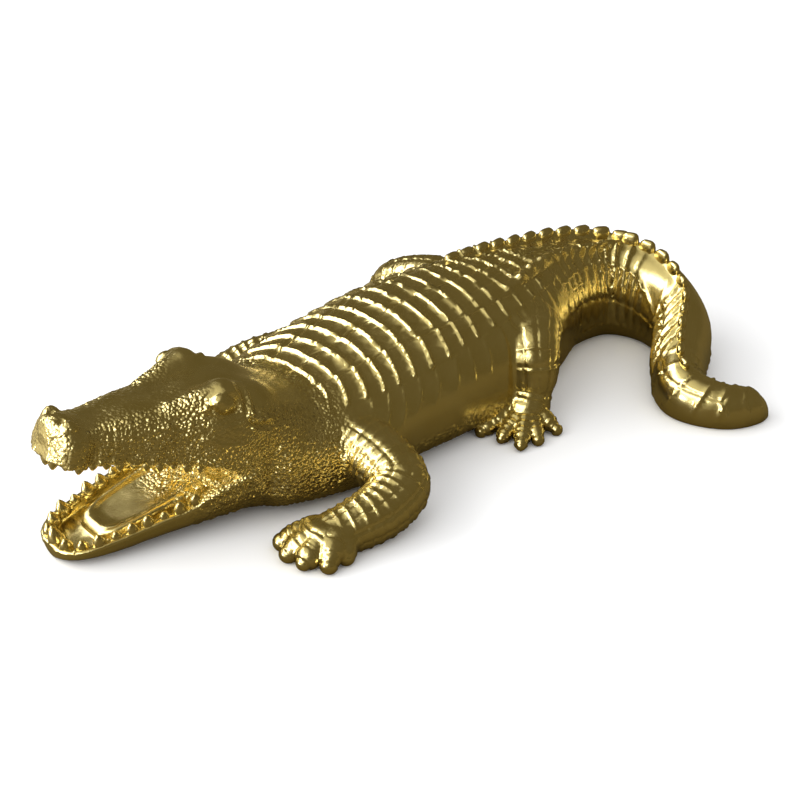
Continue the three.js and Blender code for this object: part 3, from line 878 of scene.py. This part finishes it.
def whole_relief(p):
    """How far the skin stands out from the plain form and how pebbled it is, the parts giving way softly."""
    away, s, angle = body_form(p)
    distances, lifts = [away], [body_relief(p, s, angle)]

    def add(inside, away, lift):
        """Adds a part that is known only inside its box, and is far off elsewhere."""
        distances.append(np.full(len(p), 99.0))
        lifts.append(np.zeros((2, len(p))))
        distances[-1][inside] = away
        lifts[-1][:, inside] = lift

    inside = near(p, HEAD_LOW, HEAD_HIGH, SKIN_MARGIN)
    q = p[inside]
    upper, lower = into_head(q, UPPER_TILT), into_head(q, LOWER_TILT)
    add(inside, skull_form(upper), skull_relief(upper, q))
    add(inside, jaw_form(lower), jaw_relief(lower, q))
    for (line, palm, toes), (low, high) in zip(leg_lines, leg_boxes):
        inside = near(p, low, high, SKIN_MARGIN)
        q = p[inside]
        add(inside, chain_form(q, line)[0], limb_relief(q, line))
        add(inside, foot_form(q, palm, toes), foot_relief(q, toes))
    share = np.exp((np.min(distances, 0) - distances) / SKIN_BLEND)
    return np.sum(share[:, None] * np.array(lifts), 0) / np.sum(share, 0)


# The skin of the casting is drawn over all these forms on a fine grid. Then every point is set on the form
# and moved out by the height of the relief there.
CELL = 0.55
BLOCK = 4
MOST_TRIANGLES = 196000
GRID_LOW = (-170, -103, -2.4)
GRID_HIGH = (130, 70, 60)
PROBE = 0.05


def skin(form, low, high):
    """A closed mesh of four-sided faces over a form, with a point in each cell that its skin passes."""
    low, high = np.array(low, float), np.array(high, float)
    blocks = np.ceil((high - low) / (CELL * BLOCK)).astype(int)
    middles = np.stack(np.meshgrid(*(np.arange(n) for n in blocks), indexing="ij"), -1).reshape(-1, 3)
    rough = form(low + (middles * BLOCK + (BLOCK - 1) / 2) * CELL)
    grid = rough.reshape(blocks).astype(np.float32)
    for axis in range(3):
        grid = np.repeat(grid, BLOCK, axis)
    close = middles[np.abs(rough) < CELL * BLOCK * 1.6 + 1.5]
    steps = np.stack(np.meshgrid(*[np.arange(BLOCK)] * 3, indexing="ij"), -1).reshape(-1, 3)
    for part in np.array_split(close, max(len(close) * len(steps) // 400000, 1)):
        at = (part[:, None] * BLOCK + steps).reshape(-1, 3)
        grid[tuple(at.T)] = form(low + at * CELL)
    solid = grid < 0
    full = np.zeros(np.array(grid.shape) - 1, np.uint8)
    corners = [(i, j, k) for i in (0, 1) for j in (0, 1) for k in (0, 1)]
    nx, ny, nz = full.shape
    for i, j, k in corners:
        full += solid[i:nx + i, j:ny + j, k:nz + k]
    cells = np.argwhere((full > 0) & (full < 8))
    number = np.full(full.shape, -1, np.int32)
    number[tuple(cells.T)] = np.arange(len(cells))
    values = np.stack([grid[tuple((cells + c).T)] for c in corners], 1)
    total, count = np.zeros((len(cells), 3)), np.zeros(len(cells))
    for a, ca in enumerate(corners):
        for b, cb in enumerate(corners):
            step = np.array(cb) - ca
            if step.sum() != 1 or (step < 0).any():
                continue
            crossed = (values[:, a] < 0) != (values[:, b] < 0)
            t = values[crossed, a] / (values[crossed, a] - values[crossed, b])
            total[crossed] += np.array(ca) + t[:, None] * step
            count[crossed] += 1
    points = low + (cells + total / count[:, None]) * CELL
    faces = []
    for axis in range(3):
        u, v = [(1, 2), (2, 0), (0, 1)][axis]
        step = np.zeros(3, int)
        step[axis] = 1
        a = solid[:-1, :-1, :-1]
        b = solid[step[0]:nx + step[0], step[1]:ny + step[1], step[2]:nz + step[2]]
        edges = np.argwhere(a != b)
        edges = edges[(edges[:, u] > 0) & (edges[:, v] > 0)]
        du, dv = np.zeros(3, int), np.zeros(3, int)
        du[u], dv[v] = 1, 1
        quad = np.stack([number[tuple((edges - o).T)] for o in (du + dv, dv, 0 * du, du)], 1)
        outward = a[tuple(edges.T)]
        quad[~outward] = quad[~outward][:, ::-1]
        faces.append(quad)
    return points, np.vstack(faces)


def set_on_form(form, points):
    """Moves points on to the form, and gives the way out of it at each."""
    at = form(points)
    out = np.stack([form(points + PROBE * np.eye(3)[i]) - at for i in range(3)], 1) / PROBE
    steep = np.maximum(np.linalg.norm(out, axis=1), 0.3)
    out /= steep[:, None]
    return points - out * np.clip(at / steep, -CELL, CELL)[:, None], out


def mesh_object(name, points, faces):
    """An object of that mesh, drawn in millimetres, smooth shaded."""
    mesh = bpy.data.meshes.new(name)
    mesh.vertices.add(len(points))
    mesh.vertices.foreach_set("co", (points * MM + np.array(BELLY)).ravel())
    sizes = np.array([len(face) for face in faces])
    mesh.loops.add(int(sizes.sum()))
    mesh.loops.foreach_set("vertex_index", np.concatenate(faces).astype(np.int32))
    mesh.polygons.add(len(faces))
    mesh.polygons.foreach_set("loop_start", (np.cumsum(sizes) - sizes).astype(np.int32))
    mesh.update(calc_edges=True)
    mesh.shade_smooth()
    made = bpy.data.objects.new(name, mesh)
    bpy.context.collection.objects.link(made)
    return made


def settle(made):
    """Gives the object the mesh that its modifiers make, without the modifiers."""
    final = bpy.data.meshes.new_from_object(made.evaluated_get(bpy.context.evaluated_depsgraph_get()))
    made.modifiers.clear()
    made.data = final


points, faces = skin(whole_form, GRID_LOW, GRID_HIGH)
points, out = set_on_form(whole_form, points)
lift, pebbled = whole_relief(points)
points += out * lift[:, None]
points[:, 2] = np.maximum(points[:, 2], 0)
casting = mesh_object("casting", points, faces)
skin_kind = casting.data.attributes.new("pebbled", "FLOAT", "POINT")
skin_kind.data.foreach_set("value", pebbled.astype(np.float32))
if 2 * len(faces) > MOST_TRIANGLES:
    fewer = casting.modifiers.new("fewer", "DECIMATE")
    fewer.ratio = MOST_TRIANGLES / (2 * len(faces))
    settle(casting)

# The gilt lacquer over it: a pale and a deeper gold in soft patches, duller in places, with fine grains where
# the skin is pebbled and a faint orange peel everywhere. Sizes and heights are in millimetres.
PALE_GOLD = (0.88, 0.76, 0.38)
DEEP_GOLD = (0.84, 0.70, 0.31)
GOLD_PATCH = 14
DULL_PATCH = 6
ROUGHNESS = (0.14, 0.30)
PEBBLE = 1.3
PEBBLE_HEIGHT = 0.6
PEEL = 0.9
PEEL_HEIGHT = 0.015
gilt = bpy.data.materials.new("gilt")
gilt.use_nodes = True
nodes, link = gilt.node_tree.nodes, gilt.node_tree.links.new
gilt_shader = nodes["Principled BSDF"]
gilt_shader.inputs["Metallic"].default_value = 1
where = nodes.new("ShaderNodeTexCoord").outputs["Object"]


def pattern(kind, size, output):
    """A pattern of that size in millimetres, laid through the object."""
    node = nodes.new(kind)
    node.inputs["Scale"].default_value = 1 / (size * MM)
    link(where, node.inputs["Vector"])
    return node.outputs[output]


def in_range(value, low, high):
    """The value from 0 to 1 turned into one from low to high."""
    node = nodes.new("ShaderNodeMapRange")
    node.inputs["To Min"].default_value = low
    node.inputs["To Max"].default_value = high
    link(value, node.inputs["Value"])
    return node.outputs["Result"]


def bumped(height, distance, strength=None, under=None):
    """A normal that a height in a pattern has roughened, on top of another."""
    node = nodes.new("ShaderNodeBump")
    node.inputs["Strength"].default_value = 1
    node.inputs["Distance"].default_value = distance * MM
    link(height, node.inputs["Height"])
    if strength:
        link(strength, node.inputs["Strength"])
    if under:
        link(under, node.inputs["Normal"])
    return node.outputs["Normal"]


gold = mixed(gilt.node_tree, pattern("ShaderNodeTexNoise", GOLD_PATCH, "Fac"), PALE_GOLD, DEEP_GOLD)
link(gold, gilt_shader.inputs["Base Color"])
dull = in_range(pattern("ShaderNodeTexNoise", DULL_PATCH, "Fac"), *ROUGHNESS)
link(dull, gilt_shader.inputs["Roughness"])
pebbled_here = nodes.new("ShaderNodeAttribute")
pebbled_here.attribute_name = "pebbled"
grains = in_range(pattern("ShaderNodeTexVoronoi", PEBBLE, "Distance"), 1, 0)
pebbly = bumped(grains, PEBBLE_HEIGHT, pebbled_here.outputs["Fac"])
peel = pattern("ShaderNodeTexNoise", PEEL, "Fac")
link(bumped(peel, PEEL_HEIGHT, under=pebbly), gilt_shader.inputs["Normal"])
casting.data.materials.append(gilt)
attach(casting, "root")
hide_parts("crocodile")


# The teeth are cast in one with the jaws, in a row round each rim: small ones above and larger ones below,
# uneven in height, the largest at the tip. They are one shape, copied to its spots by a tree of nodes that
# reads how every copy is turned and sized. The crest and the claws are made with the same tree.
def lathe(rows, sides, blocky=0):
    """A closed shape of rings of points (height, half length, half width, shift along x), pointed at the top
    and rounded or, with blocky up to 1, square in section."""
    points = [(0, 0, rows[0][0])]
    for height, long, wide, shift in rows[:-1]:
        for i in range(sides):
            x, y = math.cos(2 * math.pi * i / sides), math.sin(2 * math.pi * i / sides)
            squared = max(abs(x), abs(y)) ** -blocky
            points.append((shift + long * x * squared, wide * y * squared, height))
    points.append((rows[-1][3], 0, rows[-1][0]))
    faces = [(0, 1 + (i + 1) % sides, 1 + i) for i in range(sides)]
    for ring in range(len(rows) - 2):
        low, high = 1 + ring * sides, 1 + (ring + 1) * sides
        faces += [(low + i, low + (i + 1) % sides, high + (i + 1) % sides, high + i) for i in range(sides)]
    last, top = 1 + (len(rows) - 2) * sides, len(points) - 1
    faces += [(last + i, last + (i + 1) % sides, top) for i in range(sides)]
    mesh = bpy.data.meshes.new("shape")
    mesh.from_pydata([tuple(c * MM for c in point) for point in points], [], faces)
    mesh.shade_smooth()
    return bpy.data.objects.new("shape", mesh)


def copying_tree():
    """The tree that sets a shape on points, turned and sized by their attributes, as one gilt mesh."""
    tree = bpy.data.node_groups.new("set_in_rows", "GeometryNodeTree")
    tree.interface.new_socket("Spots", in_out="INPUT", socket_type="NodeSocketGeometry")
    tree.interface.new_socket("Shape", in_out="INPUT", socket_type="NodeSocketObject")
    tree.interface.new_socket("Finish", in_out="INPUT", socket_type="NodeSocketMaterial")
    tree.interface.new_socket("Row", in_out="OUTPUT", socket_type="NodeSocketGeometry")
    nodes, link = tree.nodes, tree.links.new
    given, made = nodes.new("NodeGroupInput"), nodes.new("NodeGroupOutput")
    shape = nodes.new("GeometryNodeObjectInfo")
    turn, size = (nodes.new("GeometryNodeInputNamedAttribute") for _ in range(2))
    for node, name in ((turn, "turn"), (size, "size")):
        node.data_type = "FLOAT_VECTOR"
        node.inputs["Name"].default_value = name
    copies, whole = nodes.new("GeometryNodeInstanceOnPoints"), nodes.new("GeometryNodeRealizeInstances")
    finish = nodes.new("GeometryNodeSetMaterial")
    link(given.outputs["Spots"], copies.inputs["Points"])
    link(given.outputs["Shape"], shape.inputs["Object"])
    link(shape.outputs["Geometry"], copies.inputs["Instance"])
    link(turn.outputs["Attribute"], copies.inputs["Rotation"])
    link(size.outputs["Attribute"], copies.inputs["Scale"])
    link(copies.outputs["Instances"], whole.inputs["Geometry"])
    link(whole.outputs["Geometry"], finish.inputs["Geometry"])
    link(given.outputs["Finish"], finish.inputs["Material"])
    link(finish.outputs["Geometry"], made.inputs["Row"])
    return tree


set_in_rows = copying_tree()


def copies(name, shape, spots):
    """An object of copies of a shape at (place, up, forward, size) spots, the places in millimetres."""
    mesh = bpy.data.meshes.new(name)
    mesh.from_pydata([tuple(Vector(place) * MM + BELLY) for place, *_ in spots], [], [])
    turns, sizes = [], []
    for _, up, forward, size in spots:
        up = Vector(up).normalized()
        side = up.cross(Vector(forward)).normalized()
        turns.append(Matrix((side.cross(up), side, up)).transposed().to_euler())
        sizes.append(size)
    for label, values in (("turn", turns), ("size", sizes)):
        mesh.attributes.new(label, "FLOAT_VECTOR", "POINT").data.foreach_set("vector", np.ravel(values))
    made = bpy.data.objects.new(name, mesh)
    bpy.context.collection.objects.link(made)
    bpy.context.collection.objects.link(shape)
    modifier = made.modifiers.new("rows", "NODES")
    modifier.node_group = set_in_rows
    given = {"Shape": shape, "Finish": gilt}
    for item in set_in_rows.interface.items_tree:
        if item.name in given:
            modifier[item.identifier] = given[item.name]
    settle(made)
    bpy.data.objects.remove(shape)
    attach(made, "root")


TOOTH_SHAPE = [
    (-2, 2.6, 1.9, 0), (0, 2.5, 1.8, 0), (1.2, 1.9, 1.4, 0.05), (2.4, 1, 0.8, 0.2), (3.1, 0, 0, 0.4),
]
TOOTH_SIDES = 8
FIRST_TOOTH = 12
RIM_STEP = 9
TIP_CORNER = 3.5
TIP_NARROWING = 0.62
UNEVEN_TEETH = 0.3
FRONT_REACH = 8
FRONT_GROWN = 1.35


def head_matrix(tilt):
    """Places a point given from the corner of the mouth, with the jaw tilted up so far."""
    turned = Matrix.Rotation(math.radians(180 - HEAD_TURN), 4, "Z")
    return Matrix.Translation(JAW_JOINT) @ turned @ Matrix.Rotation(math.radians(-tilt), 4, "Y")


def row_of_teeth(widths, rim_height, tip, tilt, inset, count, point, grown):
    """The spots for one row, from one corner of the mouth round the tip of the jaw to the other."""
    places = np.arange(FIRST_TOOTH, tip - RIM_STEP + 0.01, RIM_STEP)
    side = [(x, float(along(widths, x)) - inset, 0) for x in places]
    corner = (tip - TIP_CORNER, float(along(widths, tip - 4)) * TIP_NARROWING, 0)
    half = [*side, corner, (tip - inset, 0, 0)]
    line = half + [(x, -y, z) for x, y, z in reversed(half[:-1])]
    rim, _ = smooth_line(line, 0.5)
    at = np.linspace(0, len(rim) - 1, count)
    place = np.stack([np.interp(at, np.arange(len(rim)), column) for column in rim.T], 1)
    into = head_matrix(tilt)
    backwards = into.to_3x3() @ Vector((-1, 0, 0))
    spots = []
    for i, (x, y, z) in enumerate(place):
        in_front = abs(y) < FRONT_REACH and x > tip - FRONT_REACH
        size = grown * (1 + UNEVEN_TEETH * math.sin(2.3 * i)) * (FRONT_GROWN if in_front else 1)
        up = into.to_3x3() @ Vector((0.1, 0.18 * np.sign(y), point))
        foot = Vector((x, y, float(along(rim_height, x))))
        spots.append((into @ foot, up, backwards, (size ** 0.5, size ** 0.5, size)))
    return spots


upper_row = row_of_teeth(
    SKULL_WIDTH, SKULL_UNDER, UPPER_LENGTH - 1, UPPER_TILT, inset=1.8, count=25, point=-1, grown=0.66,
)
lower_row = row_of_teeth(
    JAW_WIDTH, JAW_TOP, LOWER_LENGTH - 1, LOWER_TILT, inset=2.3, count=19, point=1, grown=1.1,
)
copies("teeth", lathe(TOOTH_SHAPE, TOOTH_SIDES), upper_row + lower_row)


# The knobs of the right-hand crest are low blocks, cast on in a row that grows from the hips to where the
# crests meet. The left-hand crest has no knobs of its own, only the swing of its ribbon.
KNOB_SHAPE = [(-2, 3.6, 2, 0), (1.8, 3.6, 2, 0), (3.3, 3.2, 1.6, 0), (4, 2.3, 1, 0), (4.2, 0, 0, 0)]
KNOB_SIDES = 12
KNOB_SQUARENESS = 0.6
FIRST_KNOB = 0.7
KNOB_GROWS_OVER = 60
LEAST_ANGLE = 3


def body_point(s, degrees):
    """A point of the plain trunk or tail, with the way along it there."""
    i = s / SPINE_STEP
    x, y = (np.interp(i, np.arange(len(spine)), column) for column in spine.T)
    dx, dy = (np.interp(i, np.arange(len(spine)), column) for column in spine_way.T)
    top, under, width = (np.interp(s, table_s, t) for t in (table_top, table_under, table_width))
    middle = under + WAIST * (top - under)
    sine, cosine = math.sin(math.radians(degrees)), math.cos(math.radians(degrees))
    power = 2 / np.interp(s, table_s, table_round)
    off = math.copysign(abs(sine) ** power, sine) * width
    rise = abs(cosine) ** power * (top - middle)
    return Vector((x - dy * off, y + dx * off, middle + rise)), Vector((dx, dy, 0))


knobs = []
for s in np.arange(CREST_START, CREST_MEET, KNOB_PITCH):
    place, forward = body_point(s, max(float(along(RIGHT_CREST, s)), LEAST_ANGLE))
    height = min(1, FIRST_KNOB + (s - CREST_START) / KNOB_GROWS_OVER)
    knobs.append((place, (0, 0, 1), forward, (1, 1, height)))
copies("crest_knobs", lathe(KNOB_SHAPE, KNOB_SIDES, KNOB_SQUARENESS), knobs)


# Where the crests have met, one row of taller scutes stands on the middle of the tail, cast on, down to half
# the height at its end.
SCUTE_SHAPE = [
    (-2, 3.7, 2, 0), (1.8, 3.7, 1.9, 0), (3.8, 3.1, 1.5, 0.3), (4.8, 2.1, 0.9, 0.5), (5.1, 0, 0, 0.6),
]
SCUTE_PITCH = 7.5
SCUTE_LEAST_LENGTH = 0.6
scutes = []
for s in np.arange(CREST_MEET + 1, CREST_END, SCUTE_PITCH):
    place, forward = body_point(s, 0)
    height = 1 - (s - CREST_MEET) / (CREST_END - CREST_MEET) / 2
    length = SCUTE_LEAST_LENGTH + 0.4 * height
    scutes.append((place, (0, 0, 1), forward, (length, length, height)))
copies("tail_scutes", lathe(SCUTE_SHAPE, KNOB_SIDES, KNOB_SQUARENESS), scutes)


# A claw is cast on at the end of each toe, in line with it and bent down to the ground. It takes the last
# part of the toe's length.
CLAW_SHAPE = [
    (-2, 1.7, 1.5, 0), (0, 1.7, 1.5, 0), (1.4, 1.3, 1.15, 0.1), (2.9, 0.7, 0.6, 0.5), (4, 0, 0, 1.1),
]
CLAW_SIDES = 8
CLAW_LENGTH = 4
CLAW_FROM = 0.84
CLAW_HEIGHT = 2.4
CLAW_DIP = -0.22
claws = []
for knots, _, tips in LEGS:
    x, y = knots[-1][:2]
    for tip in tips:
        reach = Vector((tip[0] - x, tip[1] - y, 0))
        place = Vector((x, y, 0)) + reach * CLAW_FROM + Vector((0, 0, CLAW_HEIGHT))
        way = reach.normalized() + Vector((0, 0, CLAW_DIP))
        claws.append((place, way, (0, 0, -1), (1, 1, reach.length * (1 - CLAW_FROM) / CLAW_LENGTH)))
copies("claws", lathe(CLAW_SHAPE, CLAW_SIDES), claws)
